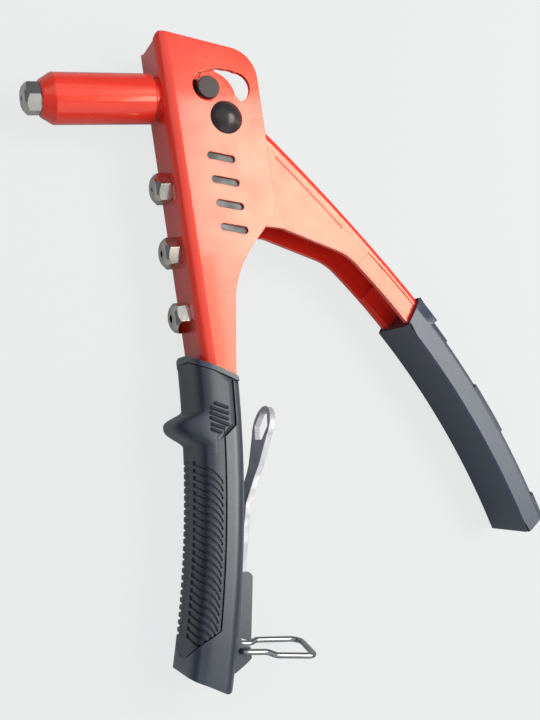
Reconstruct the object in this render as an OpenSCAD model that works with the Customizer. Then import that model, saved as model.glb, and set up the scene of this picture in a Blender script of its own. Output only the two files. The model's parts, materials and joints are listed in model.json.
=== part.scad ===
// Lever hand riveter for blind rivets, 10 inch class.
// All sizes are millimetres. Every sketch is drawn about the lever pivot with X towards
// the lever, Y along the fixed handle (up towards the head) and Z out of the near cheek.
// The whole tool is then shifted so that the mouth of the fitted nosepiece is the origin.

/* [Head] */
// Outside width across the two cheeks of the pressed body
body_width = 24; // [21:0.5:25]
// Thickness of the pressed sheet of the body
sheet = 1.8; // [1.4:0.1:2.2]
// Outer radius of the fold between front wall and cheeks
fold_r = 4.5; // [3:0.1:5]
// Distance from the pivot to the outer face of the front wall
front_wall = 23.5; // [22:0.5:26]
// Height of the barrel axis above the pivot
barrel_axis = 11.5; // [10:0.5:13]
// Outside diameter of the barrel
barrel_d = 18.8; // [17:0.1:21]
// Length of the barrel from the front wall to the small end of its cone
barrel_len = 43.8; // [42:0.2:50]
// Diameter of the two pivot domes
dome_d = 13; // [11:0.5:15]

/* [Nosepieces] */
// Width across flats of the nosepiece hexagon
hex_af = 10.6; // [10:0.1:12]
// Length of the nosepiece hexagon
hex_len = 6.3; // [5.6:0.1:8]
// Bore of the fitted nosepiece, for 3.2 mm rivets
bore_fitted = 2.1; // [1.6:0.1:3.6]
// Bore of the first spare, for 2.4 mm rivets
bore_spare_1 = 1.7; // [1.6:0.1:3.6]
// Bore of the second spare, for 4.0 mm rivets
bore_spare_2 = 2.6; // [1.6:0.1:3.6]
// Bore of the third spare, for 4.8 mm rivets
bore_spare_3 = 3.1; // [1.6:0.1:3.6]
// Distance between two spares on the front wall
spare_pitch = 24.9; // [20:0.1:26]

/* [Pulling unit] */
// Outside diameter of the jaw case, running in the barrel
case_d = 14; // [13.4:0.1:14.4]
// Radial play of the running fits
play = 0.05; // [0.03:0.01:0.08]
// Diameter of the pull rod
rod_d = 8; // [7:0.5:9]
// Diameter of the drive pin shank
drive_d = 5; // [4.5:0.1:5.4]

/* [Handles] */
// Outside width of the lever channel
lever_width = 20; // [18:0.2:20]
// Thickness of the lever sheet
lever_sheet = 2; // [1.6:0.1:2.2]
// Half width of the fixed grip
grip_half = 13.4; // [13.2:0.1:14]
// Half width of the lever grip
lever_grip_half = 11.8; // [11.6:0.1:12.4]
// Number of grooves in the comb of the front pad
ribs = 24; // [0:1:26]
// Depth of the comb grooves
rib_depth = 0.7; // [0.4:0.1:1]

/* [Wrench and bail] */
// Width of the flat wrench strip
wrench_width = 8.5; // [8:0.5:10]
// Thickness of the wrench strip
wrench_t = 2.2; // [1.8:0.1:2.2]
// Wire diameter of the bail
wire_d = 2.2; // [2:0.1:2.4]

/* [Hidden] */
bw = body_width / 2;
bi = bw - sheet;
// a straight or flat piece is this much thinner on each face than the fold that it joins
inset = 0.02;
lw = lever_width / 2;
nose_tip = front_wall + barrel_len + hex_len;
shift = [nose_tip, -barrel_axis, 0];
// centre and radius of the arc that the fixed grip follows
cg = [-478.3, -71.5];
rg = 460;
// centre of the arc of the lever grip, radii of its back and of the channel above it
cb = [-198.85, -266.15];
rb = 333;
ra = 800;
d36 = [cos(36), sin(36)];
ca = cb + (rb - ra) * d36;
pin_xy = [-5.2, 12.1];
bail_xy = [-23.6, -198.5];
bail_rest = -13.7;
spare_y = [-23.7, -23.7 - spare_pitch, -23.7 - 2 * spare_pitch];
// line of the wrench: a point on its front face at the pocket mouth, and its lean
w0 = [-18.8, -171];
w_lean = 14.5;
groove_pitch = 0.342;
// how far the front face of the grip lies ahead of its guide arc
front = 10.6;

// ring sector of a section drawn with its radius along X and its height along Z
module sweep(c, a0, a1)
  translate([c.x, c.y, 0]) rotate([0, 0, a0])
    rotate_extrude(angle = a1 - a0, $fn = 720) children();

// plate in the XY plane between two heights
module slab(z0, z1) translate([0, 0, z0]) linear_extrude(z1 - z0) children();

// the same plate on both sides of the middle plane
module both(z0, z1) { slab(z0, z1) children(); slab(-z1, -z0) children(); }

// turned body along the barrel axis, profile as [distance from pivot towards the nose, radius]
module turned(n = 96)
  translate([0, barrel_axis, 0]) rotate([0, -90, 0]) rotate_extrude($fn = n) children();

// cylinder along X at a given height
module bar_x(x0, x1, r, y = 0, n = 64)
  translate([x0, y, 0]) rotate([0, 90, 0]) cylinder(h = x1 - x0, r = r, $fn = n);

module bar_z(p, z0, z1, r, n = 64) translate([p.x, p.y, z0]) cylinder(h = z1 - z0, r = r, $fn = n);

// points of an arc about c, n steps from angle a to angle b
function on(c, r, a) = [c.x + r * cos(a), c.y + r * sin(a)];
function arc(c, r, a, b, n) = [for (i = [0:n]) on(c, r, a + (b - a) * i / n)];

// rounded strip between two points
module pill(p, q, r) {
  d = q - p; l = norm(d);
  translate(p) circle(r, $fn = 48);
  translate(q) circle(r, $fn = 48);
  translate(p) rotate(atan2(d.y, d.x)) translate([0, -0.995 * r]) square([l, 1.99 * r]);
}

// BODY
top_n = [sin(12.3), cos(12.3)];
top_c = 28.3;
c2 = [3.5, (top_c - 12 - top_n.x * 3.5) / top_n.y];
c3 = [31.9, -77.7];
front_top = 31.3;

// side view of the channel; in front of the wall it runs past the sheet
module body_side() polygon([[-40, (top_c + 40 * top_n.x) / top_n.y],
  each arc(c2, 12, 77.7, 0, 16), [15.3, -34.5], [13.9, -38.5],
  each arc(c3, 40, 136.6, 171.8, 12), [-11.6, -98], [-14.6, -98], [-23.9, -92.95], [-40, -92.95]]);
// one cheek, larger than the side view and set back from the front fold
module cheek() difference() {
  translate([-front_wall + fold_r + 0.5, -100]) square([60, 140]);
  kidney();
  bar2(0, 0, 4 + play);
}
module bar2(x, y, r) translate([x, y]) circle(r, $fn = 64);

// window that shows the drive pin
module kidney() {
  for (c = [[-5.9, 12.3, 5.95], [-3.3, 12.9, 6.1], [-0.6, 13.2, 6.15], [2.6, 12.8, 6.15], [5.7, 12, 6]])
    translate([c.x, c.y]) circle(c.z, $fn = 64);
  polygon([[-5.5, 6.42], [5.3, 6.08], [5.3, 12], [-0.6, 13], [-5.5, 12]]);
}

// cross section of the folded edge: depth from the outer face along X, width along Y;
// g makes the sheet thinner on both faces, so that it ends inside the piece it joins
module fold_section(hw, f, t, deep, g = 0) difference() {
  union() {
    translate([g, -(hw - f)]) square([f + deep - g, 2 * (hw - f)]);
    translate([f, g - hw]) square([deep, 2 * (hw - g)]);
    for (s = [-1, 1]) translate([f, s * (hw - f)]) circle(f - g, $fn = 64);
  }
  translate([t - g, -(hw - f)]) square([f + deep, 2 * (hw - f)]);
  translate([f, t - g - hw]) square([f + deep, 2 * (hw - t + g)]);
  for (s = [-1, 1]) translate([f, s * (hw - f)]) circle(f - t + g, $fn = 48);
}

module body_channel() color([0.8, 0.13, 0.1]) translate(shift) {
  difference() {
    union() {
      intersection() {
        union() {
          // front wall with its two folds
          translate([-front_wall, 42, 0]) rotate([90, 0, 0])
            linear_extrude(142) fold_section(bw, fold_r, sheet, 3, inset);
          both(bi + 2 * inset, bw - 2 * inset) cheek();
        }
        slab(-20, 20) body_side();
      }
      // tang inside the grip, spot welded behind the front wall
      sweep(cg, -16, -2.1) tang();
      // drawn collars that hold the spare nosepieces
      for (y = spare_y) bar_x(-front_wall + 1, -front_wall + sheet + 4.5, 5, y);
    }
    // top of the front wall, cut lower than the cheeks
    translate([-front_wall - 2, 0, 0]) rotate([90, 0, 90]) linear_extrude(6.5)
      polygon([[front_top, -7.2], [front_top, 7.2], [34.1, 11.2], [45, 11.2], [45, -11.2],
        [34.1, -11.2]]);
    bar_x(-front_wall - 1, -front_wall + 4, 7.5, barrel_axis, 96);
    for (y = spare_y) bar_x(-front_wall - 1, -front_wall + 8, 3 + play, y);
    // slots that show the backing plates, and the shallow beds of the plates
    both(bi + 0.8, bw + 1) for (i = [0:3]) slot2(i);
    both(bi - 1, bi + 0.8) bed2();
  }
}
module slot2(i)
  pill([-8.7 + 0.35 * i, -14.6 - 9.2 * i], [-0.5 + 0.35 * i, -16.4 - 9.2 * i], 1.5);
module bed2() polygon([[-12, -10.5], [1.6, -13.5], [3, -46.5], [-9.6, -46.5]]);
module tang() translate([rg, 0]) difference() {
  translate([-4, -7.7]) square([10, 15.4]);
  translate([-2.2, -5.9]) square([10, 11.8]);
}

module backing_plate(z0) slab(z0, z0 + 0.75)
  offset_bed();
module offset_bed() polygon([[-11.8, -10.75], [1.4, -13.6], [2.75, -46.3], [-9.4, -46.3]]);
module backing_plate_near() color([0.7, 0.7, 0.72]) translate(shift) backing_plate(bi + 0.03);
module backing_plate_far() color([0.7, 0.7, 0.72]) translate(shift) backing_plate(-bi - 0.78);

// bush pressed into the front wall: carries the barrel, guides the pull rod
module head_bush() color([0.6, 0.6, 0.62]) translate(shift) difference() {
  union() {
    bar_x(-front_wall - 6, -front_wall + sheet, 7.5, barrel_axis, 96);
    bar_x(-front_wall + sheet, -front_wall + sheet + 2.2, 8.8, barrel_axis, 96);
  }
  bar_x(-front_wall - 7, -front_wall + 6, rod_d / 2 + play, barrel_axis, 96);
}

module barrel() color([0.85, 0.15, 0.1]) translate(shift) {
  x0 = front_wall + 1.5; x1 = front_wall + barrel_len;
  turned() polygon([[7.55, x0], [barrel_d / 2 - 0.6, x0], [barrel_d / 2, x0 + 0.6],
    [barrel_d / 2, x1 - 4.6], [barrel_d / 2 - 0.3, x1 - 4], [6.9, x1 - 0.4], [6.4, x1],
    [4.2, x1], [4.2, x1 - 5.6], [case_d / 2 + play, x1 - 5.8], [case_d / 2 + play, x0 + 4.7],
    [7.55, x0 + 4.6]]);
}

// nosepiece: chamfered hexagon, threaded shank, tail that opens the jaws
module nosepiece(bore, shank, tail) {
  difference() {
    union() {
      intersection() {
        rotate([0, -90, 0]) rotate([0, 0, 19]) cylinder(h = hex_len, r = hex_af / sqrt(3), $fn = 6);
        rotate([0, -90, 0]) rotate_extrude($fn = 96) polygon([[0, 0], [5.6, 0], [6.5, 0.7],
          [6.5, hex_len - 2.4], [4.4, hex_len - 0.4], [3.6, hex_len], [0, hex_len]]);
      }
      rotate([0, 90, 0]) cylinder(h = 5.5, r = shank, $fn = 64);
      translate([5.5, 0, 0]) rotate([0, 90, 0]) cylinder(h = tail, r1 = 2.9, r2 = 2.3, $fn = 64);
    }
    translate([-hex_len - 1, 0, 0]) rotate([0, 90, 0]) cylinder(h = 30, r = bore / 2, $fn = 48);
    translate([-0.6, 0, 0]) rotate([0, 90, 0]) cylinder(h = 20, r = 1.75, $fn = 48);
  }
}
module nosepiece_fitted() color([0.72, 0.72, 0.74])
  translate(shift) translate([-front_wall - barrel_len, barrel_axis, 0]) nosepiece(bore_fitted, 4.15, 3);
module spare(i, bore) color([0.72, 0.72, 0.74])
  translate(shift) translate([-front_wall, spare_y[i], 0]) nosepiece(bore, 3, 1.2);
module nosepiece_spare_1() spare(0, bore_spare_1);
module nosepiece_spare_2() spare(1, bore_spare_2);
module nosepiece_spare_3() spare(2, bore_spare_3);

// PULLING UNIT
jc = front_wall + barrel_len - 6;
// jaw case: hollow with a cone at the front
module jaw_case() color([0.35, 0.35, 0.37]) translate(shift) turned() polygon([
  [3.5, jc], [6.4, jc], [case_d / 2, jc - 0.7], [case_d / 2, jc - 15.5], [6.6, jc - 16],
  [4, jc - 16], [4, jc - 11], [5.6, jc - 10.6], [5.6, jc - 9]]);

// one jaw: a third of a hollow cone
module jaw_solid(s) intersection() {
  turned() polygon([[1.1, jc - 3.4], [2.2, jc - 2.7], [3.85, jc - 2.7], [5.25, jc - 8.6],
    [5.25, jc - 9], [1.1, jc - 9]]);
  translate([-jc, barrel_axis, 0]) rotate([0, 90, 0]) linear_extrude(16)
    polygon([[0, 0], [7, s * 4.04], [7, s * 9], [-7, s * 9], [-7, s * 4.04]]);
}
module jaw_upper() color([0.5, 0.5, 0.52]) translate(shift) jaw_solid(1);
module jaw_lower() color([0.5, 0.5, 0.52]) translate(shift) jaw_solid(-1);

// pusher: tube with a blunt nose behind the jaws
module jaw_pusher() color([0.6, 0.6, 0.55]) translate(shift) turned() polygon([
  [1.6, jc - 9.2], [3.2, jc - 9.2], [3.6, jc - 9.8], [3.6, jc - 10.2],
  [2.4, jc - 10.4], [2.4, jc - 13.4], [1.6, jc - 13.4]]);

// closed mesh along a path of round sections, n corners each
module tube(rings) {
  m = len(rings); n = len(rings[0]);
  polyhedron(points = [for (q = rings) each q], faces = concat(
    [[for (j = [0:n - 1]) j]], [[for (j = [n - 1:-1:0]) (m - 1) * n + j]],
    [for (i = [0:m - 2], j = [0:n - 1]) [i * n + j, (i + 1) * n + j, i * n + (j + 1) % n]],
    [for (i = [0:m - 2], j = [0:n - 1])
      [(i + 1) * n + j, (i + 1) * n + (j + 1) % n, i * n + (j + 1) % n]]));
}
// wound wire spring along the barrel axis
module coil(x0, x1, rc, rw, turns) tube([for (i = [0:turns * 14]) let (a = i * 360 / 14)
  [for (j = [0:7]) let (f = 45 * j + 22.5) [
    x0 + rw + (x1 - x0 - 2 * rw) * i / (turns * 14) + rw * sin(f),
    barrel_axis + (rc + rw * cos(f)) * cos(a), (rc + rw * cos(f)) * sin(a)]]]);
module jaw_spring() color([0.7, 0.7, 0.7]) translate(shift)
  coil(-jc + 10.5, -jc + 15.9, 3, 0.4, 5);
module return_spring() color([0.7, 0.7, 0.7]) translate(shift)
  coil(-jc + 18.7, -front_wall - 6.1, 5.3, 0.6, 6);

module jaw_case_locknut() color([0.6, 0.6, 0.62]) translate(shift) difference() {
  intersection() {
    translate([-jc + 16, barrel_axis, 0]) rotate([0, 90, 0]) cylinder(h = 2.6, r = 6.9, $fn = 6);
    bar_x(-jc + 16, -jc + 18.6, 6.6, barrel_axis, 96);
  }
  bar_x(-jc + 15, -jc + 20, rod_d / 2, barrel_axis, 96);
}

// rod with a flat eye behind the wall, slotted for the drive pin
module pull_rod() color([0.45, 0.45, 0.47]) translate(shift) difference() {
  union() {
    bar_x(-jc + 11, -14, rod_d / 2, barrel_axis, 96);
    slab(-4.5, 4.5) difference() {
      polygon([[-15, 8.2], [-12, 7.2], [3.6, 7.2], [5, 8.6], [5, 15.6], [3.2, 17.8],
        [-12, 17.8], [-15, 14.8]]);
      translate([pin_xy.x, pin_xy.y]) circle(drive_d / 2 + 0.15, $fn = 64);
      translate([pin_xy.x, 13.2]) circle(drive_d / 2 + 0.15, $fn = 64);
      translate([pin_xy.x - drive_d / 2 - 0.15, pin_xy.y]) square([drive_d + 0.3, 1.1]);
    }
  }
  bar_x(-jc + 10, -jc + 16.4, 3.45, barrel_axis, 64);
  bar_x(-jc + 10, -15, 1.7, barrel_axis, 48);
}

module drive_pin() color([0.3, 0.3, 0.32]) translate(shift) {
  bar_z(pin_xy, -lw - 1.2, lw, drive_d / 2);
  bar_z(pin_xy, lw, lw + 1.5, 4.4);
  translate([pin_xy.x, pin_xy.y, lw + 1.5]) cylinder(h = 0.35, r1 = 4.4, r2 = 4.05, $fn = 64);
}
module drive_pin_clip() color([0.3, 0.3, 0.32]) translate(shift) difference() {
  bar_z(pin_xy, -lw - 1.7, -lw, 4.4);
  bar_z(pin_xy, -lw - 3, -lw + 1, drive_d / 2);
}

// low dome standing on a cheek
module dome(h) {
  r = dome_d / 2; s = (r * r + h * h) / (2 * h);
  translate([0, 0, bw]) intersection() {
    translate([0, 0, h - s]) sphere(s, $fn = 128);
    cylinder(h = h + 1, r = r, $fn = 128);
  }
}
module pivot_pin() color([0.12, 0.1, 0.1]) translate(shift) {
  dome(3.4);
  bar_z([0, 0], -bw - 1.4, bw, 4);
}
module pivot_cap() color([0.12, 0.1, 0.1]) translate(shift) difference() {
  mirror([0, 0, 1]) dome(3.4);
  bar_z([0, 0], -bw - 1.5, 0, 4);
}

// LEVER
// one flange: mouth, fillet, open edge, back edge inside the fold, ear
module lever_side() difference() {
  polygon([[4, -42], [10.5, -42.5], [17.6, -43.7],
    for (i = [0:6]) on([31.02, -74], 22, 65.46 - 4.26 * i),
    for (a = [39:-1:34]) on(cb, rb - 11.4, a),
    for (a = [34, 35]) on(cb, rb - 3.5, a),
    for (i = [0:10]) on(ca, ra - 3.5, 36 + 0.65 * i),
    on(ca, ra, 42.5), [-3.2, 21.6], [-6.4, 18.8], [-8.8, 15], [-8.8, 9.6], [-6.8, 5.6],
    [-6.8, -10], [-3, -17], [-1, -36]]);
  bar2(0, 0, 4 + play);
  bar2(pin_xy.x, pin_xy.y, drive_d / 2);
}
module lever_fold(r, g = 0)
  mirror([1, 0]) translate([-r, 0]) fold_section(lw, 3, lever_sheet, 2, g);
module lever_channel() color([0.85, 0.15, 0.1]) translate(shift) difference() {
  union() {
    both(lw - lever_sheet + 2 * inset, lw - 2 * inset) lever_side();
    sweep(ca, 36, 42.5) lever_fold(ra);
    sweep(cb, 34, 36.05) lever_fold(rb, inset);
    // part of the channel that sits inside the grip
    sweep(cb, 17.4, 37) difference() {
      translate([322.4, -8.4]) square([8, 16.8]);
      translate([320, -6.4]) square([8.6, 12.8]);
    }
  }
  // shallow pressed panel and crease in both flanges
  sweep(cb, 33, 39.7) for (s = [-1, 1]) translate([322.7, s * (lw + 0.6) - 1]) square([6.6, 2]);
  sweep(ca, 38.6, 41.4) for (s = [-1, 1]) translate([ra - 6.2, s * (lw + 0.7) - 1]) square([0.7, 2]);
}
// section of the lever grip
module lg_section(r0, r1, hw, rr) {
  polygon([[r0, 1.3 - hw], [r0 + 2.4, -hw], [r1 - rr, -hw], [r1 - rr, hw], [r0 + 2.4, hw],
    [r0, hw - 1.3]]);
  translate([r0 + 3, -hw + rr]) square([r1 - r0 - 3, 2 * (hw - rr)]);
  for (s = [-1, 1]) translate([r1 - rr, s * (hw - rr)]) circle(rr, $fn = 64);
}
module lever_grip() color([0.2, 0.23, 0.28]) translate(shift) difference() {
  intersection() {
    union() {
      sweep(cb, 15.2, 34.4) lg_section(319.8, 332.9, lever_grip_half, 4.5);
      // raised collar, round in side view
      intersection() {
        sweep(cb, 32.6, 35.6) lg_section(326, 337.4, lever_grip_half, 3.2);
        translate([77.5, -82.1, -20]) cylinder(r = 6.1, h = 40, $fn = 96);
      }
    }
    slab(-20, 20) polygon([[64, -88.6], [68, -87], [75, -76.5], [76.4, -74.4], [90, -70], [130, -160],
      [121.9, -172.2], [120.2, -175.6], [112.2, -180.8], [109.6, -181], [95, -178], [60, -100]]);
  }
  // seat of the channel
  sweep(cb, 34, 37) translate([321.4, -lw - 0.15]) square([11.8, 2 * lw + 0.3]);
  sweep(cb, 17, 34.4) difference() {
    translate([322.2, -8.6]) square([8.4, 17.2]);
    translate([320, -6.2]) square([8.4, 12.4]);
  }
  // finger scallops along the edges of the back
  for (s = [-1, 1]) {
    sweep(cb, 26.9, 30.9) translate([333.2, s * 11.3]) circle(4, $fn = 48);
    sweep(cb, 17.6, 23) translate([333.2, s * 11.3]) circle(4, $fn = 48);
  }
}

// FIXED GRIP
module g_sweep(a0, a1) sweep(cg, a0, a1) translate([rg, 0]) children();
module front_round(h, x) {
  intersection() {
    translate([h - x, 0]) circle(h, $fn = 160);
    translate([-20, -20]) square([20 + h - x, 40]);
  }
}
module g_section() {
  h = grip_half;
  front_round(h, front);
  translate([h - front, -h]) square([4 + front - h, 2 * h]);
  translate([4, -h + 5]) square([5, 2 * h - 10]);
  for (s = [-1, 1]) translate([4, s * (h - 5)]) circle(5, $fn = 64);
}
module core_section() {
  h = grip_half - 2.2; x = front - 2.6;
  front_round(h, x);
  translate([h - x, -h]) square([7 + x - h, 2 * h]);
}
// side view of the grip below the lip
module grip_profile() {
  polygon([[-40, -89.3], [-28.6, -89.3], [-12.2, -99], [-11.2, -100.2], [-8, -110], [-8, -150],
    [-20, -205], [-28.2, -207.4], each arc([-32, -206.3], 4, -16, -124, 8),
    [-44.4, -202.4], each arc([-43.6, -199.6], 3, -105, -180, 5), [-60, -190]]);
}
// side view of the soft pad, grown by g on its inner edges
module pad_profile(g) {
  intersection() {
    translate(cg) circle(rg + 0.5 + g, $fn = 1440);
    polygon([[-60, -118.8 + g], [-15, -118.8 + g], [-15, -150], [-30.5 + g, -186.5 - g],
      [-38, -190.2 - g], [-50, -198.8 - g], [-80, -150]]);
  }
  intersection() {
    translate(cg) circle(rg + 5.1 + g, $fn = 1440);
    polygon([[-60, -90.9 + g], [-28.3, -90.9 + g], [-8, -102.9 + g], [-8, -114.9 - g],
      [-13.6 + g, -114.9 - g], [-20.1 + g, -119.4 - g], [-60, -119.4 - g]]);
  }
}
// collar lip seen from the side and from above
module lip_profile() polygon([[-40, -88.2], [-28.8, -88.2], [-12.8, -97.65], [-11.6, -98.8],
  [-11.5, -100.6], [-12.4, -100], [-28.4, -90.55], [-40, -90.55]]);
module lip_section() {
  r = grip_half + 0.3;
  translate([r - 29.8, 0]) circle(r, $fn = 160);
  translate([r - 29.8, -r]) square([12, 2 * r]);
}
module pocket_side() {
  u = [sin(w_lean), cos(w_lean)]; v = [u.y, -u.x];
  q = w0 + 0.4 * u + 4.2 * v;
  polygon([q - 1.2 * u, q - 1.2 * v, q - 9 * v, [-33, -206], [-27, -205.6], [-22.4, -203.4],
    [-20.1, -202], [-19.9, -198], [-23.2, -196.3], [-23, -194], [-19.4, -196]]);
}
module fixed_grip_shell() color([0.33, 0.36, 0.4]) translate(shift) difference() {
  union() {
    intersection() {
      difference() {
        g_sweep(-18, -2) g_section();
        slab(-20, 20) pad_profile(0.35);
      }
      slab(-20, 20) grip_profile();
    }
    intersection() {
      g_sweep(-15.6, -2) core_section();
      slab(-20, 20) grip_profile();
    }
    intersection() {
      slab(-20, 20) lip_profile();
      translate([0, -80, 0]) rotate([90, 0, 0]) linear_extrude(30) lip_section();
    }
    slab(-6.6, 6.6) pocket_side();
  }
  // room for the straight part of the body and for its tang
  translate([0, -80, 0]) rotate([90, 0, 0]) linear_extrude(18.2) body_room();
  g_sweep(-16.2, -3) translate([-4.2, -8.2]) square([10.4, 16.4]);
  // slot of the wrench
  translate([w0.x, w0.y, 0]) rotate([0, 0, -w_lean])
    translate([-0.12, -26.1, -wrench_width / 2 - 0.15])
      cube([wrench_t + 0.24, 30, wrench_width + 0.3]);
  // eyes of the bail
  bar_z(bail_xy, -12, -3.4, wire_d / 2 + 0.06, 32);
  bar_z(bail_xy, 3.4, 12, wire_d / 2 + 0.06, 32);
}

module body_room() {
  f = fold_r;
  translate([-front_wall - 0.15, f - bw]) square([30, 2 * (bw - f)]);
  translate([-front_wall + f, -bw - 0.15]) square([30, 2 * bw + 0.3]);
  for (s = [-1, 1]) translate([-front_wall + f, s * (bw - f)]) circle(f + 0.15, $fn = 96);
}

// thumb stop: a turned cone with a round tip, its axis pointing forward
module nub() translate([-26, -114.4, 0]) rotate([0, -90, 0]) rotate_extrude($fn = 96)
  polygon([[0, 0], [9.2, 0], for (a = [30:10:80]) [3.4 * cos(a), 9.2 + 3.4 * sin(a)], [0, 12.6]]);

module fixed_grip_pad() color([0.16, 0.18, 0.22]) translate(shift) difference() {
  union() {
    intersection() {
      g_sweep(-16, -2) g_section();
      slab(-20, 20) pad_profile(0);
    }
    nub();
  }
  g_sweep(-17, -1.5) pad_core();
  comb();
  badge_ribs();
  bevels();
}
// room in the pad for the core of the shell
module pad_core() {
  h = grip_half - 1.9; x = front - 2.3;
  front_round(h, x);
  translate([h - x, -h]) square([20, 2 * h]);
}
// section of a bevel, w wide and d deep
module bevel_cut(w, d) polygon([[-w, grip_half + 0.05], [0.1, grip_half + 0.05],
  [0.1, grip_half - d]]);
module along(p, q) {
  translate([p.x, p.y, 0]) rotate([0, 0, atan2(q.y - p.y, q.x - p.x)]) rotate([90, 0, 90])
    linear_extrude(norm(q - p)) children();
}
// bevels along the upper, rear and lower edges of both flanks
module bevels() for (m = [0, 1]) mirror([0, 0, m]) {
  g_sweep(-5.6, -2.9) translate([5.1, 0]) bevel_cut(2, 0.8);
  g_sweep(-14.9, -5.4) translate([0.5, 0]) bevel_cut(0.9, 0.5);
  along([-28.3, -90.9], [-11.4, -100.9]) bevel_cut(2, 0.8);
  along([-10.7, -112.9], [-23, -121.4]) bevel_cut(1.4, 0.6);
}
// grooves on both flanks of the pad: arcs that grow steeper towards the back
module comb() difference() {
  for (i = [0:ribs - 1]) {
    a = -7.206 - i * groove_pitch;
    translate([cg.x, cg.y, 0]) rotate([0, 0, a]) translate([rg - 12.9, -12.2, 0])
      for (s = [-1, 1]) translate([0, 0, s > 0 ? 2.4 : -15]) linear_extrude(12.6) groove();
  }
  g_sweep(-17, -6) offset_in(rib_depth);
}
// one groove, wider at its front end
module groove() intersection() {
  difference() {
    circle(13.3, $fn = 200);
    translate([0.9 * cos(10), -0.9 * sin(10)]) circle(11.75, $fn = 200);
  }
  polygon([[0, 0], [20 * cos(21), 20 * sin(21)], [20, 40], [0, 40]]);
}
module offset_in(g) {
  h = grip_half - g;
  translate([grip_half - front, 0]) circle(h, $fn = 160);
  translate([grip_half - front, -h]) square([20, 2 * h]);
}
// short slanted bars below the collar
module badge_ribs() {
  left = [[-22.1, -107.3], [-23.8, -108.7], [-24.3, -110.5], [-24.6, -112.3], [-24.5, -114.7],
    [-24.8, -116.5]];
  right = [[-17.9, -109.5], [-17.9, -111.7], [-18.3, -113.7], [-18.5, -115.8], [-20.3, -116.7],
    [-21.8, -118.1]];
  both(grip_half - 0.5, grip_half + 1) for (i = [0:5]) pill(left[i], right[i], 0.5);
}

// WRENCH
module wrench_side() {
  u = [sin(w_lean), cos(w_lean)]; v = [u.y, -u.x];
  a0 = w0 - 25.7 * u; a1 = w0 + 25.5 * u; a2 = [-5.4, -133.2]; a3 = [3.4, -110.2];
  polygon([a0, a1, a2, a3, a3 + wrench_t * [cos(21), -sin(21)], a2 + wrench_t * [cos(25), -sin(25)],
    a1 + wrench_t * [cos(21), -sin(21)], a0 + wrench_t * v]);
}
module wrench_face() {
  c = [0, 15.6];
  difference() {
    union() {
      translate([-wrench_width / 2, -60]) square([wrench_width, 72]);
      translate(c) circle(8, $fn = 96);
      polygon([[-4, -5], [4, -5], [7.4, 13], [-7.4, 13]]);
    }
    translate(c) circle(r = (hex_af + 0.25) / sqrt(3), $fn = 6);
  }
}
module wrench() color([0.7, 0.71, 0.74]) translate(shift) intersection() {
  slab(-10, 10) wrench_side();
  translate([-5.4, -133.2, 0]) rotate([0, 0, -20.9]) rotate([0, 90, 0])
    translate([0, 0, -30]) linear_extrude(60) wrench_face();
}

// BAIL
// corners of the wire: distance from its hinge, offset across, height, bend radius
bail_pts = [[0, 0, 3.6, 0], [0, 0, 8.4, 1.6], [9.5, 0, 8.4, 4], [12.6, -1.0, 9.9, 4],
  [28.6, -1.3, 10, 3], [31.4, 1.3, -10, 4], [12.6, 1.0, -9.9, 4], [9.5, 0, -8.4, 4],
  [0, 0, -8.4, 1.6], [0, 0, -3.6, 0]];
function p3(q) = [q.x, q.y, q.z];
function unit(v) = v / norm(v);
function turn_at(i) = acos(unit(p3(bail_pts[i]) - p3(bail_pts[i - 1]))
  * unit(p3(bail_pts[i + 1]) - p3(bail_pts[i])));
// length that a bend takes from each of its two straight pieces
function take(i) = (i < 1 || i > len(bail_pts) - 2) ? 0 : bail_pts[i][3] * tan(turn_at(i) / 2);
// points of the wire's middle line, bends laid out as arcs
function bail_line() = [p3(bail_pts[0]),
  for (i = [1:len(bail_pts) - 2]) let (p = p3(bail_pts[i]), d = unit(p - p3(bail_pts[i - 1])),
    e = unit(p3(bail_pts[i + 1]) - p), k = unit(cross(d, e)), m = cross(k, d), r = bail_pts[i][3],
    b = turn_at(i), steps = max(2, round(b / 13)))
    for (j = [0:steps]) p - take(i) * d + r * m
      + r * (sin(b * j / steps) * d - cos(b * j / steps) * m),
  p3(bail_pts[len(bail_pts) - 1])];
module bail() color([0.75, 0.75, 0.77]) translate(shift)
  translate([bail_xy.x, bail_xy.y, 0]) rotate([0, 0, bail_rest]) {
    l = bail_line(); n = len(l);
    tube([for (i = [0:n - 1]) let (d = unit(l[min(i + 1, n - 1)] - l[max(i - 1, 0)]),
      s = unit(cross(d, [0, 1, 0])), u = cross(s, d))
      [for (j = [0:13]) let (f = j * 360 / 14) l[i] + wire_d / 2 * (cos(f) * s + sin(f) * u)]]);
  }

body_channel();
backing_plate_near();
backing_plate_far();
head_bush();
barrel();
nosepiece_fitted();
nosepiece_spare_1();
nosepiece_spare_2();
nosepiece_spare_3();
jaw_case();
jaw_upper();
jaw_lower();
jaw_pusher();
jaw_spring();
jaw_case_locknut();
pull_rod();
return_spring();
drive_pin();
drive_pin_clip();
pivot_pin();
pivot_cap();
lever_channel();
lever_grip();
fixed_grip_shell();
fixed_grip_pad();
wrench();
bail();
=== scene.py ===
"""Looks of a lever hand riveter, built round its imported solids."""
import json
import math

import bpy
from mathutils import Euler, Matrix, Vector


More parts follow.
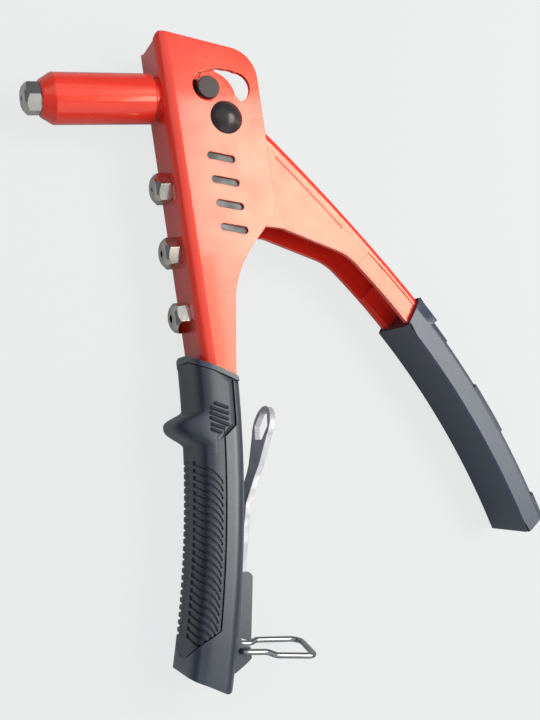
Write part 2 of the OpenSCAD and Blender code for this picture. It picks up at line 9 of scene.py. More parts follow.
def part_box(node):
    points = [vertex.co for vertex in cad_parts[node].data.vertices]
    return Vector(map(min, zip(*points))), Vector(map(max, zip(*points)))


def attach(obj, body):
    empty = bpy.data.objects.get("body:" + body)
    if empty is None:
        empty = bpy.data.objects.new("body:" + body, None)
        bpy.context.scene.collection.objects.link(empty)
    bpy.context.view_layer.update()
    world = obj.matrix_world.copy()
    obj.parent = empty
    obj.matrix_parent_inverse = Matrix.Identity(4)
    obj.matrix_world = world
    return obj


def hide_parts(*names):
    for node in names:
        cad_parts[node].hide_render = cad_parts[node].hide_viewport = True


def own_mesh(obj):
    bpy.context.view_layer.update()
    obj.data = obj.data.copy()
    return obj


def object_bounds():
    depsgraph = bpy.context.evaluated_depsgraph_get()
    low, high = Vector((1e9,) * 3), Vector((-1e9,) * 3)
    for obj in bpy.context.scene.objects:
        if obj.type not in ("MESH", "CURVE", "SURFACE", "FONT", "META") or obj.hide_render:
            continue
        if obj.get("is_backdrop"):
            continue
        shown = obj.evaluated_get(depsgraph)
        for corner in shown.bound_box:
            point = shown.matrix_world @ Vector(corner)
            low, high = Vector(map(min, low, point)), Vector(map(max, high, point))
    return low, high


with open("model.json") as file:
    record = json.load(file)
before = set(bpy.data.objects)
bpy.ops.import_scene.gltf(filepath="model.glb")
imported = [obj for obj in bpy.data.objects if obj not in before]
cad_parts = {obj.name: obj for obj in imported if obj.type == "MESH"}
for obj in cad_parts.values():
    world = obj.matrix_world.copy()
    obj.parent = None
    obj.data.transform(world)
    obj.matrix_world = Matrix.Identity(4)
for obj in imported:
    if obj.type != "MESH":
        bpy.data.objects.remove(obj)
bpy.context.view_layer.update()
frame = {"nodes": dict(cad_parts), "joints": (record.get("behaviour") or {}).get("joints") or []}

bl_info = {
    "name": "Lever Hand Riveter",
    "version": (1, 0, 0),
    "blender": (4, 5, 0),
    "location": "View3D > Sidebar > Riveter",
    "description": "Gives the solids of a lever hand riveter their enamel, plating and grips",
    "category": "Object",
}

MM = 0.001
JOINTS = {joint["name"]: joint for joint in frame["joints"]}
# places that belong to the lever and the grips are written from the lever's pivot
PIVOT = Vector(JOINTS["lever_hinge"]["pos_m"])
# guide arc of the fixed grip: its centre, its radius to the middle of the grip's half-round
# front, and half of the grip's width
GRIP_ARC = Vector((-478.3, -71.5, 0.0)) * MM + PIVOT
GRIP_RADIUS = 462.8 * MM
GRIP_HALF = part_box("fixed_grip_pad")[1][2]
# tip of the thumb stop
STOP_AT = Vector((-37.3, -113.6, 0.0)) * MM + PIVOT
# centre of the guide arc of the lever's grip
LEVER_ARC = Vector((-198.85, -266.15, 0.0)) * MM + PIVOT
# sockets of a Mix node that mixes colours, whose names its other kinds share
FACTOR, FIRST, SECOND, MIXED = 0, 6, 7, 2


class RiveterColours(bpy.types.PropertyGroup):
    """Colours that a user would change, as sRGB hex values."""

    enamel: bpy.props.StringProperty(name="Enamel", description="Red of head, barrel and lever",
                                     default="#F93A29")
    enamel_deep: bpy.props.StringProperty(name="Deep enamel", description="Red where the coat lies thick",
                                          default="#E62B1E")
    shell: bpy.props.StringProperty(name="Grip shell", description="Grey plastic of the fixed grip",
                                    default="#262D39")
    pad: bpy.props.StringProperty(name="Grip pad", description="Soft front pad of the fixed grip",
                                  default="#191E29")
    sleeve: bpy.props.StringProperty(name="Lever sleeve", description="Sleeve over the lever end",
                                     default="#283142")
    floor: bpy.props.StringProperty(name="Floor", description="Pale sheet under the tool",
                                    default="#96989A")


class RiveterGrain(bpy.types.PropertyGroup):
    """Grain sizes of the finishes, in metres."""

    # the real spark grain and brush marks are about 0.1 mm or less, and are drawn coarser to show
    peel: bpy.props.FloatProperty(name="Orange peel", description="Distance between ripples in the enamel",
                                  default=1.6 * MM, unit="LENGTH")
    spark: bpy.props.FloatProperty(name="Spark grain", description="Grain of the moulded plastics",
                                   default=0.35 * MM, unit="LENGTH")
    brush: bpy.props.FloatProperty(name="Brush marks", description="Distance between brush lines on steel",
                                   default=0.25 * MM, unit="LENGTH")
    # this radius also sets how wide the lighter edge colours are, which are partly a painted highlight
    edge: bpy.props.FloatProperty(name="Edge softness", description="Radius of worn and coated edges",
                                  default=0.4 * MM, unit="LENGTH")


class RiveterForm(bpy.types.PropertyGroup):
    """Shape of the fixed grip's section, and of the parts that stand out from it."""

    setback: bpy.props.FloatProperty(name="Front setback", default=2.2 * MM, unit="LENGTH",
                                     description="How far the front lies behind a half round")
    square: bpy.props.FloatProperty(name="Squareness", default=5.4,
                                    description="Power of the section's curve: 2 is round")
    stop_square: bpy.props.FloatProperty(name="Stop squareness", default=3.7,
                                         description="Power of the curve at the thumb stop's tip")
    bar_half: bpy.props.FloatProperty(name="Bar half width", default=0.38 * MM, unit="LENGTH",
                                      description="Half the width of the short slanted bars")


def linear(hex_colour):
    """Linear red, green, blue and alpha of an sRGB hex value such as #E02A1C."""
    parts = [int(hex_colour[i:i + 2], 16) / 255 for i in (1, 3, 5)]
    return [c / 12.92 if c <= 0.04045 else ((c + 0.055) / 1.055) ** 2.4 for c in parts] + [1.0]


def toned(colour, times, lift=0.0):
    """A linear colour made lighter or darker by a factor, and lifted."""
    return [c * times + lift for c in colour[:3]] + [1.0]


def add(tree, kind, links=None, **settings):
    """Adds a node and gives it its settings. Links names its sockets, each with a plain value,
    another socket, or a node whose first output it takes."""
    node = tree.nodes.new(kind)
    for key, value in settings.items():
        setattr(node, key, value)
    for socket, value in (links or {}).items():
        if isinstance(value, bpy.types.Node):
            value = value.outputs[0]
        if isinstance(value, bpy.types.NodeSocket):
            tree.links.new(value, node.inputs[socket])
        else:
            node.inputs[socket].default_value = value
    return node


def new_material(name):
    """A material without nodes, and its node tree."""
    made = bpy.data.materials.new(name)
    made.use_nodes = True
    made.node_tree.nodes.clear()
    return made, made.node_tree


def place(tree, stretch=(1, 1, 1)):
    """Place on the piece in metres, stretched for grain that runs one way."""
    where = add(tree, "ShaderNodeTexCoord").outputs["Object"]
    return add(tree, "ShaderNodeVectorMath", {0: where, 1: stretch}, operation="MULTIPLY")


def lumps(tree, where, size, detail, low, high):
    """A value that wanders between low and high, in lumps about size metres apart."""
    noise = add(tree, "ShaderNodeTexNoise", {"Vector": where, "Scale": 1 / size, "Detail": detail})
    # nearly all of a noise lies between 0.3 and 0.7
    return add(tree, "ShaderNodeMapRange", {"Value": noise, "From Min": 0.3, "From Max": 0.7,
                                            "To Min": low, "To Max": high})


def soft_edge_and_highlight_mask(tree, radius):
    """Normal rounded over sharp edges, and a mask that is 1 on those edges, where the materials
    mix in a lighter colour that is partly a painted highlight.
    """
    rounded = add(tree, "ShaderNodeBevel", {"Radius": radius}, samples=6)
    flat = add(tree, "ShaderNodeNewGeometry").outputs["Normal"]
    same = add(tree, "ShaderNodeVectorMath", {0: rounded, 1: flat}, operation="DOT_PRODUCT")
    return rounded, add(tree, "ShaderNodeMapRange", {"Value": same.outputs["Value"], "From Min": 0.8,
                                                     "From Max": 0.99, "To Min": 1.0, "To Max": 0.0})


def stove_enamel(colours, sizes):
    """Gloss stove enamel sprayed on pressed steel: it levels to a slow orange peel that breaks
    up the edges of reflections, lies deeper red in wide random patches, and is lighter orange over
    edges, partly where the coat is thin and partly as a painted highlight."""
    made, tree = new_material("stove_enamel_red")
    where = place(tree)
    pooling, wiping = 28 * MM, 9 * MM
    colour = add(tree, "ShaderNodeMix", {
        FACTOR: lumps(tree, where, pooling, 3.0, 0.0, 0.5), FIRST: linear(colours.enamel),
        SECOND: linear(colours.enamel_deep)}, data_type="RGBA")
    rounded, edge = soft_edge_and_highlight_mask(tree, sizes.edge)
    # painted highlight: the edges are mixed toward a light orange, partly for the thin coat there and
    # partly for the light that rims catch
    colour = add(tree, "ShaderNodeMix", {
        FACTOR: edge, FIRST: colour.outputs[MIXED], SECOND: linear("#F8583C")}, data_type="RGBA")
    ripple = add(tree, "ShaderNodeTexNoise", {"Vector": where, "Scale": 1 / sizes.peel, "Detail": 1.0})
    bump = add(tree, "ShaderNodeBump", {"Height": ripple, "Strength": 0.4, "Distance": 0.06 * MM,
                                        "Normal": rounded})
    skin = add(tree, "ShaderNodeBsdfPrincipled", {
        "Base Color": colour.outputs[MIXED], "Roughness": lumps(tree, where, wiping, 4.0, 0.18, 0.3),
        "IOR": 1.5, "Specular IOR Level": 0.8, "Specular Tint": linear("#FFE8C8"),
        "Coat Weight": 0.55, "Coat Roughness": 0.07, "Normal": bump})
    add(tree, "ShaderNodeOutputMaterial", {"Surface": skin})
    return made


def plated(name, hex_colour, rough, sizes, stretch=(1, 1, 1), metallic=1.0):
    """Plated steel: bright metal with fine rubbing marks and slightly clouded patches."""
    made, tree = new_material(name)
    where, cloud = place(tree), 4 * MM
    tone = linear(hex_colour)
    colour = add(tree, "ShaderNodeMix", {
        FACTOR: lumps(tree, where, cloud, 3.0, 0.0, 1.0), FIRST: tone, SECOND: toned(tone, 0.82)},
        data_type="RGBA")
    rounded = add(tree, "ShaderNodeBevel", {"Radius": sizes.edge * 0.6}, samples=6)
    marks = add(tree, "ShaderNodeTexNoise", {"Vector": place(tree, stretch), "Scale": 1 / sizes.brush,
                                             "Detail": 3.0, "Roughness": 0.7})
    bump = add(tree, "ShaderNodeBump", {"Height": marks, "Strength": 0.4, "Distance": 0.01 * MM,
                                        "Normal": rounded})
    skin = add(tree, "ShaderNodeBsdfPrincipled", {
        "Base Color": colour.outputs[MIXED], "Metallic": metallic,
        "Roughness": lumps(tree, where, cloud, 3.0, rough * 0.8, rough * 1.3), "Normal": bump})
    add(tree, "ShaderNodeOutputMaterial", {"Surface": skin})
    return made


def black_finish(name, hex_colour, rough, metallic, sizes):
    """Blackened or lacquered steel: near black and finely grained, and lighter on the edges, partly
    where they are rubbed and partly as a painted highlight.
    """
    made, tree = new_material(name)
    where = place(tree)
    tone = linear(hex_colour)
    rounded, edge = soft_edge_and_highlight_mask(tree, sizes.edge)
    # painted highlight: the edges are mixed toward a tone three times as light, partly for rubbing and
    # partly for the light that rims catch
    colour = add(tree, "ShaderNodeMix", {
        FACTOR: edge, FIRST: tone, SECOND: toned(tone, 3, 0.02)}, data_type="RGBA")
    fine = add(tree, "ShaderNodeTexNoise", {"Vector": where, "Scale": 1 / sizes.brush, "Detail": 3.0})
    bump = add(tree, "ShaderNodeBump", {"Height": fine, "Strength": 0.2, "Distance": 0.01 * MM,
                                        "Normal": rounded})
    skin = add(tree, "ShaderNodeBsdfPrincipled", {
        "Base Color": colour.outputs[MIXED], "Metallic": metallic,
        "Roughness": lumps(tree, where, sizes.brush, 3.0, rough * 0.85, rough * 1.25), "Normal": bump})
    add(tree, "ShaderNodeOutputMaterial", {"Surface": skin})
    return made


def moulded(name, hex_colour, rough, sizes, depth, skin_gloss=0.8):
    """Moulded plastic or rubber: spark-eroded grain of the given depth under a moulding skin,
    and lighter grey over the edges, partly where hands have polished them and partly as a painted
    highlight."""
    made, tree = new_material(name)
    where, cloud = place(tree), 14 * MM
    tone = linear(hex_colour)
    colour = add(tree, "ShaderNodeMix", {
        FACTOR: lumps(tree, where, cloud, 4.0, 0.0, 0.5), FIRST: tone, SECOND: toned(tone, 1.5, 0.006)},
        data_type="RGBA")
    rounded, edge = soft_edge_and_highlight_mask(tree, sizes.edge)
    # painted highlight: the edges are mixed toward a lighter grey, partly for polishing by hands and
    # partly for the light that edges catch
    colour = add(tree, "ShaderNodeMix", {
        FACTOR: edge, FIRST: colour.outputs[MIXED], SECOND: toned(tone, 2.2, 0.012)}, data_type="RGBA")
    fine = add(tree, "ShaderNodeTexNoise", {"Vector": where, "Scale": 1 / sizes.spark, "Detail": 2.0})
    bump = add(tree, "ShaderNodeBump", {"Height": fine, "Strength": 0.5, "Distance": depth,
                                        "Normal": rounded})
    skin = add(tree, "ShaderNodeBsdfPrincipled", {
        "Base Color": colour.outputs[MIXED],
        "Roughness": lumps(tree, where, cloud, 4.0, rough * 0.92, rough * 1.12), "IOR": 1.52,
        "Specular Tint": linear("#D6E4FF"), "Coat Weight": skin_gloss, "Coat Roughness": rough * 0.9,
        "Normal": bump})
    add(tree, "ShaderNodeOutputMaterial", {"Surface": skin})
    return made


def pale_paper(hex_colour):
    """Matt sheet of pale paper. It is lit from behind for the eye and a little in reflections, so
    that shadows on it stay pale."""
    made, tree = new_material("pale_paper")
    tone = linear(hex_colour)
    fibre, blotch, behind = 3 * MM, 0.06, 0.78
    colour = add(tree, "ShaderNodeMix", {
        FACTOR: lumps(tree, place(tree), fibre, 3.0, 0.0, blotch), FIRST: tone, SECOND: toned(tone, 0.8)},
        data_type="RGBA")
    sheet = add(tree, "ShaderNodeBsdfPrincipled", {"Base Color": colour.outputs[MIXED], "Roughness": 0.9})
    glow = add(tree, "ShaderNodeEmission", {"Color": linear("#FBFDFD")})
    ray = add(tree, "ShaderNodeLightPath").outputs
    mirrored = add(tree, "ShaderNodeMath", {0: ray["Is Glossy Ray"], 1: ray["Is Transmission Ray"]},
                   operation="MAXIMUM")
    seen = add(tree, "ShaderNodeMath", {0: mirrored, 1: 0.2, 2: ray["Is Camera Ray"]},
               operation="MULTIPLY_ADD")
    share = add(tree, "ShaderNodeMath", {0: seen, 1: behind}, operation="MULTIPLY")
    mix = add(tree, "ShaderNodeMixShader", {0: share, 1: sheet, 2: glow})
    add(tree, "ShaderNodeOutputMaterial", {"Surface": mix})
    return made


def finish(piece, material, angle=32.0):
    """Gives a piece its material, and smooth shading up to the given edge angle in degrees."""
    piece.data.materials.clear()
    piece.data.materials.append(material)
    with bpy.context.temp_override(object=piece, active_object=piece, selected_objects=[piece],
                                   selected_editable_objects=[piece]):
        bpy.ops.object.shade_smooth_by_angle(angle=math.radians(angle))


def dress(material, nodes, angle=32.0):
    """Finishes CAD nodes that are shown as they are."""
    for name in nodes:
        finish(frame["nodes"][name], material, angle)


def copy_of(node, carrier="tool_body"):
    """A copy of a CAD node's mesh that stands for the node on its moving body."""
    piece = bpy.data.objects.new("dressed_" + node, frame["nodes"][node].data.copy())
    bpy.context.scene.collection.objects.link(piece)
    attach(piece, carrier)
    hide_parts(node)
    return piece


def rubber_piece(name, points, faces, material, angle=32.0, thickness=0.0):
    """A new piece of dark rubber on the fixed grip. With a thickness, its faces are the outer side
    of a sheet."""
    mesh = bpy.data.meshes.new(name)
    mesh.from_pydata(points, [], faces)
    piece = bpy.data.objects.new(name, mesh)
    bpy.context.scene.collection.objects.link(piece)
    if thickness:
        root = piece.modifiers.new("root", "SOLIDIFY")
        root.thickness, root.offset = thickness, -1.0
    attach(piece, "tool_body")
    finish(piece, material, angle)


def reach_of_skin(ahead, across, deep, half, power):
    """Distance from the middle of a soft-cornered section to its skin, in the direction of the
    unit vector ahead, across. Deep and half are the distances straight ahead and straight across."""
    return ((ahead / deep) ** power + (abs(across) / half) ** power) ** (-1 / power)


def square_off(piece, form):
    """Turns the half-round front of the moulded grip into flat flanks with soft corners. The
    solid's cone goes just under that skin, and what else stands out from it moves along."""
    deep = GRIP_HALF - form.setback
    # the middle that stays as it is, and how far over the half round is still its skin
    core, slack = 0.1 * MM, 0.05 * MM
    # half the cone's length along the grip, its depth under the skin, and the distance over
    # which raised parts move less and less
    cone_half, cover, fade = 10 * MM, 0.25 * MM, 4 * MM
    for vertex in piece.data.vertices:
        arm = Vector((vertex.co.x - GRIP_ARC.x, vertex.co.y - GRIP_ARC.y))
        ahead, across = GRIP_RADIUS - arm.length, vertex.co.z
        reach = math.hypot(ahead, across)
        if ahead <= 0 or reach < core:
            continue
        skin = reach_of_skin(ahead / reach, across / reach, deep, GRIP_HALF, form.square)
        if reach <= GRIP_HALF + slack:
            moved = reach * skin / GRIP_HALF
        elif abs(vertex.co.y - STOP_AT.y) < cone_half:
            moved = skin - cover
        else:
            moved = reach + (skin - GRIP_HALF) * math.exp((GRIP_HALF - reach) / fade)
        arm *= (GRIP_RADIUS - ahead * moved / reach) / arm.length
        vertex.co = (GRIP_ARC.x + arm.x, GRIP_ARC.y + arm.y, across * moved / reach)


def thumb_stop(material, form):
    """Thumb stop: the skin of the grip swells forwards into a round-tipped ridge and runs back
    into the flanks. Its borders sink just under the skin that it grows from."""
    rows, columns = 61, 49
    # how far the piece reaches above and below the tip, and where its swell starts there
    above, below, rise, fall = 8.5 * MM, 11.0 * MM, 6.0 * MM, 8.3 * MM
    # how far it lies over the skin, and under it at its ends and at its sides
    proud, end_sunk, side_sunk = 0.02 * MM, 0.06 * MM, 0.04 * MM
    # its sides stand just ahead of the middle of the grip, and run forwards below the bars
    side_ahead, side_slope, side_most = 0.35 * MM, 1.1, 5 * MM
    bars_end = PIVOT.y - 115.5 * MM
    # radii of the guide arc at which its length and its sides are measured
    length_radius, side_radius = 455 * MM, 460 * MM
    tip = STOP_AT - GRIP_ARC
    deep = GRIP_HALF - form.setback
    height = GRIP_RADIUS - tip.length - deep
    points = []
    for i in range(rows):
        along = (above + below) * i / (rows - 1) - below
        angle = math.atan2(tip.y, tip.x) + along / length_radius
        share = min(abs(along) / (rise if along > 0 else fall), 1.0)
        swell = 0.5 + 0.5 * math.cos(math.pi * share ** 1.3)
        sunk = end_sunk if i in (0, rows - 1) else -proud
        depth, power = deep - sunk + height * swell, form.square + (form.stop_square - form.square) * swell
        under_bars = max(bars_end - GRIP_ARC.y - side_radius * math.sin(angle), 0.0)
        widest = math.atan2(GRIP_HALF - 0.05 * MM, min(side_ahead + under_bars * side_slope, side_most))
        for j in range(columns):
            lean = (2 * j / (columns - 1) - 1) * widest
            half = GRIP_HALF - (side_sunk if j in (0, columns - 1) else sunk)
            reach = reach_of_skin(math.cos(lean), math.sin(lean), depth, half, power)
            arm = GRIP_RADIUS - reach * math.cos(lean)
            points.append((GRIP_ARC.x + arm * math.cos(angle), GRIP_ARC.y + arm * math.sin(angle),
                           reach * math.sin(lean)))
    faces = [(i * columns + j, i * columns + j + 1, (i + 1) * columns + j + 1, (i + 1) * columns + j)
             for i in range(rows - 1) for j in range(columns - 1)]
    rubber_piece("thumb_stop", points, faces, material, 60.0, 0.6 * MM)


def flank_point(at, side, lift, form):
    """Point over a place in the XY plane, lifted from the flank of the squared-off grip."""
    ahead = max(GRIP_RADIUS - (at - GRIP_ARC.xy).length, 0.0)
    across = GRIP_HALF * (1 - (ahead / (GRIP_HALF - form.setback)) ** form.square) ** (1 / form.square)
    return (at.x, at.y, side * (across + lift))


def flank_bars(side, material, form):
    """Six short slanted bars on one flank, with round ends, just proud of the skin: dark strips
    of painted shade where the flank's grooves lie in shadow.
    """
    # front and rear end of each bar, in millimetres from the pivot
    ends = (((-22.1, -107.3), (-17.9, -109.5)), ((-23.8, -108.7), (-17.9, -111.7)),
            ((-24.3, -110.5), (-18.3, -113.7)), ((-24.6, -112.3), (-18.5, -115.8)),
            ((-24.5, -114.7), (-20.3, -116.7)), ((-24.8, -116.5), (-21.8, -118.1)))
    columns, rows = 17, 5
    # height over the skin along the middle, how much of it the sides lose, and the half width
    # that is left at the round ends so that no face shrinks to a line
    crest, crown, least = 0.16 * MM, 0.12 * MM, 0.01 * MM
    points, faces = [], []
    for bar in ends:
        front, rear = (Vector(end) * MM + PIVOT.xy for end in bar)
        length = (rear - front).length
        run = (rear - front) / length
        cross = Vector((-run.y, run.x))
        first = len(points)
        for i in range(columns):
            along = i / (columns - 1) * (length + 2 * form.bar_half) - form.bar_half
            beyond = max(-along, along - length, 0.0)
            wide = math.sqrt(max(form.bar_half ** 2 - beyond ** 2, least ** 2))
            for j in range(rows):
                share = j / (rows - 1) * 2 - 1
                at = front + run * along + cross * wide * share
                points.append(flank_point(at, side, crest - crown * share ** 2, form))
        for i in range(columns - 1):
            for j in range(rows - 1):
                corner = first + i * rows + j
                face = (corner, corner + rows, corner + rows + 1, corner + 1)
                faces.append(face if side < 0 else face[::-1])
    name = "flank_bars_near" if side > 0 else "flank_bars_far"
    rubber_piece(name, points, faces, material, 50.0, 0.5 * MM)


def seam_filler(side, material):
    """Dark sheet of painted shade behind the seam between the collar of the shell and the pad."""
    # corners along the seam, and depths from the middle plane, in millimetres from the pivot
    outline = ((-22.4, -93.6), (-12.2, -99.5), (-11.9, -101.2), (-22.2, -95.0))
    inner, outer = 12.3, 12.8
    points = [Vector((x, y, side * z)) * MM + PIVOT for z in (inner, outer) for x, y in outline]
    faces = [(3, 2, 1, 0), (4, 5, 6, 7)] + [(i, (i + 1) % 4, (i + 1) % 4 + 4, i + 4) for i in range(4)]
    if side < 0:
        faces = [face[::-1] for face in faces]
    rubber_piece("seam_filler_near" if side > 0 else "seam_filler_far", points, faces, material)


def trim_sleeve(piece):
    """Narrows the chamfer along the front of the lever sleeve, lowers and rounds its collar,
    and closes the floors of the finger scallops over the channel."""
    # millimetres from the centre of the guide arc, and across from the middle plane:
    # the chamfer lies nearer than front, from front_edge to flank_edge, which move by their shifts
    front, front_edge, flank_edge = 322.4, 10.3, 11.75
    front_shift, flank_shift = 0.6, -1.4
    # the collar stands out past back, and keeps a share of its height, and of its width past its flat
    back, back_flat, kept_height, kept_width = 333.2, 8.0, 0.2, 0.65
    # corner of a scallop's floor that leaves a slit over the channel, and where it closes the slit
    slit, slit_closed, slit_size = Vector((330.6, 8.6)), Vector((330.8, 8.8)), 0.6
    for vertex in piece.data.vertices:
        arm = Vector((vertex.co.x - LEVER_ARC.x, vertex.co.y - LEVER_ARC.y))
        at = Vector((arm.length, abs(vertex.co.z))) / MM
        moved = at.copy()
        if at.x < front and at.y > flank_edge:
            moved.x += flank_shift
        elif at.x < front and at.y > front_edge:
            moved.y += front_shift
        elif at.x > back:
            moved.x = back + (at.x - back) * kept_height
            moved.y = min(at.y, back_flat) + max(at.y - back_flat, 0.0) * kept_width
        elif (at - slit).length < slit_size:
            moved = slit_closed
        arm *= moved.x / at.x
        vertex.co = (LEVER_ARC.x + arm.x, LEVER_ARC.y + arm.y, math.copysign(moved.y * MM, vertex.co.z))


class RIVETER_OT_enamelled_sheet(bpy.types.Operator):
    """Enamels the head, the barrel and the lever"""

    bl_idname = "riveter.enamelled_sheet"
    bl_label = "Enamelled sheet"

    def execute(self, context):
        scene = context.scene
        dress(stove_enamel(scene.riveter_colours, scene.riveter_grain),
              ["body_channel", "barrel", "head_bush", "lever_channel"])
        return {"FINISHED"}


class RIVETER_OT_bright_metal(bpy.types.Operator):
    """Plates the nosepieces, the wrench, the bail and the backing plates"""

    bl_idname = "riveter.bright_metal"
    bl_label = "Bright metal"

    def execute(self, context):
        sizes = context.scene.riveter_grain
        # nickel over turned steel: bright and slightly warm, with sharp reflections
        nickel = plated("nickel_plated_steel", "#D2CEC6", 0.13, sizes)
        # each nosepiece is screwed home to its own angle
        for name, angle in (("nosepiece_fitted", 24.0), ("nosepiece_spare_1", 15.5),
                            ("nosepiece_spare_2", 8.5), ("nosepiece_spare_3", -23.0)):
            low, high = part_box(name)
            axis = Matrix.Translation((0, (low[1] + high[1]) / 2, (low[2] + high[2]) / 2))
            piece = copy_of(name)
            piece.data.transform(axis @ Matrix.Rotation(math.radians(angle), 4, "X") @ axis.inverted())
            finish(piece, nickel)
        # dull zinc over rolled strip: pale and bluish, and rubbed along its length
        dress(plated("zinc_plated_strip", "#CFD1DC", 0.5, sizes, (1, 0.12, 1), 0.35), ["wrench"])
        # wire drawn bright: narrow highlights with fine lines along them
        dress(plated("bright_drawn_wire", "#A3A5A9", 0.2, sizes, (0.2, 1, 1)), ["bail"], 60.0)
        # phosphated sheet: an even dark grey behind the slots
        dress(plated("phosphated_plate", "#595A5C", 0.42, sizes, (1, 0.1, 1)),
              ["backing_plate_near", "backing_plate_far"])
        return {"FINISHED"}


class RIVETER_OT_working_steel(bpy.types.Operator):
    """Finishes the pins and the pulling unit"""

    bl_idname = "riveter.working_steel"
    bl_label = "Working steel"

    def execute(self, context):
        sizes = context.scene.riveter_grain
        # bare steel with turning marks round the axis, paler where it is left soft
        dress(plated("turned_steel", "#A9A7A4", 0.3, sizes, (8, 1, 1)),
              ["jaw_pusher", "jaw_case_locknut"])
        dress(plated("hardened_steel", "#6A6764", 0.36, sizes, (8, 1, 1)),
              ["jaw_case", "jaw_upper", "jaw_lower", "pull_rod"])
        # spring wire, grey from its heat treatment
        spring_steel = plated("spring_steel", "#8B8A88", 0.3, sizes)
        dress(spring_steel, ["jaw_spring"], 60.0)
        # the return spring is shown by a copy on the tool body, with a mesh of its own
        spring = copy_of("return_spring")
        finish(spring, spring_steel, 60.0)
        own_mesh(spring)
        # oxide black is dull and a little metallic, lacquer is a deep gloss black
        dress(black_finish("black_oxide_steel", "#514A4B", 0.5, 0.5, sizes),
              ["drive_pin", "drive_pin_clip"])
        dress(black_finish("black_lacquer", "#332C2E", 0.26, 0.0, sizes), ["pivot_pin", "pivot_cap"])
        return {"FINISHED"}


class RIVETER_OT_grips(bpy.types.Operator):
    """Finishes the two grips"""

    bl_idname = "riveter.grips"
    bl_label = "Grips"

    def execute(self, context):
        scene = context.scene
        colours, sizes, form = scene.riveter_colours, scene.riveter_grain, scene.riveter_form
        shell = copy_of("fixed_grip_shell")
        pad = copy_of("fixed_grip_pad")
        for piece in (shell, pad):
            square_off(piece, form)
        # hard grey plastic with the half gloss of its mould
        finish(shell, moulded("moulded_polypropylene", colours.shell, 0.35, sizes, 0.03 * MM, 1.0))
        # softer rubber moulded over it: darker and duller
        rubber = moulded("soft_thermoplastic_rubber", colours.pad, 0.42, sizes, 0.04 * MM)
        # a low edge angle keeps the bevels of the pad crisp
        finish(pad, rubber, 16.0)
        thumb_stop(rubber, form)
        # painted shade: the same rubber made darker for the seams and bars, where little light reaches it
        shaded = moulded("shaded_rubber", "#0F1318", 0.6, sizes, 0.03 * MM, 0.2)
        for side in (-1, 1):
            flank_bars(side, shaded, form)
            seam_filler(side, shaded)
        sleeve = copy_of("lever_grip", "lever_arm")
        trim_sleeve(sleeve)
        # vinyl sleeve: bluish grey with a low sheen
        finish(sleeve, moulded("vinyl_sleeve", colours.sleeve, 0.36, sizes, 0.03 * MM, 0.6))
        return {"FINISHED"}


def area_lamp(name, stands_at, aim, size, power, tint="#FFFFFF"):
    """Soft box that looks at a point, with its size in metres and its power in watts."""
    lamp = bpy.data.lights.new(name, "AREA")
    lamp.shape, lamp.size, lamp.size_y = "RECTANGLE", size[0], size[1]
    lamp.energy, lamp.color = power, linear(tint)[:3]
    holder = bpy.data.objects.new(name, lamp)
    bpy.context.scene.collection.objects.link(holder)
    holder.location = stands_at
    holder.rotation_euler = (Vector(aim) - Vector(stands_at)).to_track_quat("-Z", "Y").to_euler()


def window_pane(name, left, right, near, far, glow):
    """One pane of the window overhead: its borders in metres, and how brightly it glows."""
    across, along = right - left, far - near
    height, middle = 0.62, ((left + right) / 2, (near + far) / 2)
    area_lamp(name, (*middle, height), (*middle, 0.0), (across, along), glow * math.pi * across * along,
              "#FFF8E8")


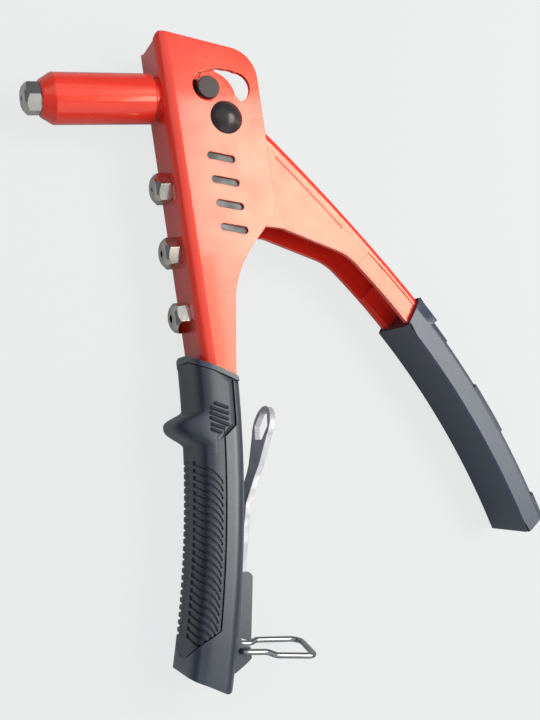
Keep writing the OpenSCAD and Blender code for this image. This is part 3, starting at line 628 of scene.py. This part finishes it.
class RIVETER_OT_stage(bpy.types.Operator):
    """Lays the pale sheet, hangs the soft boxes and sets the camera"""

    bl_idname = "riveter.stage"
    bl_label = "Stage"

    def execute(self, context):
        scene = context.scene
        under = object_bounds()[0].z - 0.2 * MM
        bpy.ops.mesh.primitive_plane_add(size=6.0, location=(0.1, -0.1, under))
        floor = context.active_object
        floor.name = "floor_sheet"
        floor.data.materials.append(pale_paper(scene.riveter_colours.floor))
        floor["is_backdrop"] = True

        scene.world = bpy.data.worlds.new("studio")
        scene.world.use_nodes = True
        daylight = scene.world.node_tree.nodes["Background"]
        daylight.inputs["Color"].default_value = linear("#D8DEEC")
        daylight.inputs["Strength"].default_value = 0.24
        # the cheek mirrors the upper panes, the flank of the fixed grip mirrors the lowest
        window_pane("pane_top", left=0.289, right=0.734, near=0.05, far=0.232, glow=8.8)
        window_pane("pane_middle", left=0.306, right=0.734, near=-0.08, far=0.05, glow=7.4)
        window_pane("pane_low", left=0.24, right=0.734, near=-0.362, far=-0.08, glow=5.8)
        middle = (0.09, -0.11, 0.0)
        area_lamp("sky_box", (-0.15, 0.25, 0.85), middle, (1.3, 1.3), 3.6, "#F4F6FF")
        area_lamp("rim_box", (0.9, -0.12, 0.36), middle, (0.3, 0.7), 0.8, "#FFFDF4")
        area_lamp("low_box", (0.1, -0.9, 0.5), middle, (1.5, 0.9), 2.6)

        # the camera stands where the photograph was taken from, turned about X, Y and Z in degrees
        view = bpy.data.cameras.new("camera")
        view.lens, view.sensor_width, view.clip_start = 44.0, 36.0, 0.01
        camera = bpy.data.objects.new("camera", view)
        scene.collection.objects.link(camera)
        stands_at = Vector((-136.4, -109.2, 314.3)) * MM + PIVOT
        turn = Euler([math.radians(angle) for angle in (6.4831, -24.0366, -9.456)])
        camera.matrix_world = Matrix.Translation(stands_at) @ turn.to_matrix().to_4x4()
        scene.camera = camera
        scene.view_settings.view_transform = "Standard"
        return {"FINISHED"}


OPERATORS = (RIVETER_OT_enamelled_sheet, RIVETER_OT_bright_metal, RIVETER_OT_working_steel,
             RIVETER_OT_grips, RIVETER_OT_stage)


class RIVETER_PT_panel(bpy.types.Panel):
    """Lists the riveter's pieces and settings"""

    bl_idname = "RIVETER_PT_panel"
    bl_label = "Riveter"
    bl_space_type = "VIEW_3D"
    bl_region_type = "UI"
    bl_category = "Riveter"

    def draw(self, context):
        column = self.layout.column()
        for group in (context.scene.riveter_colours, context.scene.riveter_grain,
                      context.scene.riveter_form):
            for key in group.__annotations__:
                column.prop(group, key)
        for step in OPERATORS:
            column.operator(step.bl_idname)


CLASSES = (RiveterColours, RiveterGrain, RiveterForm, *OPERATORS, RIVETER_PT_panel)


def register():
    """Registers the classes, and gives the scene their settings."""
    for cls in CLASSES:
        bpy.utils.register_class(cls)
    bpy.types.Scene.riveter_colours = bpy.props.PointerProperty(type=RiveterColours)
    bpy.types.Scene.riveter_grain = bpy.props.PointerProperty(type=RiveterGrain)
    bpy.types.Scene.riveter_form = bpy.props.PointerProperty(type=RiveterForm)


def unregister():
    """Takes the settings and the classes away again."""
    del bpy.types.Scene.riveter_form
    del bpy.types.Scene.riveter_grain
    del bpy.types.Scene.riveter_colours
    for cls in reversed(CLASSES):
        bpy.utils.unregister_class(cls)


def main():
    """Makes the pieces and the stage."""
    register()
    for step in OPERATORS:
        group, name = step.bl_idname.split(".")
        getattr(getattr(bpy.ops, group), name)()


if __name__ == "__main__":
    main()
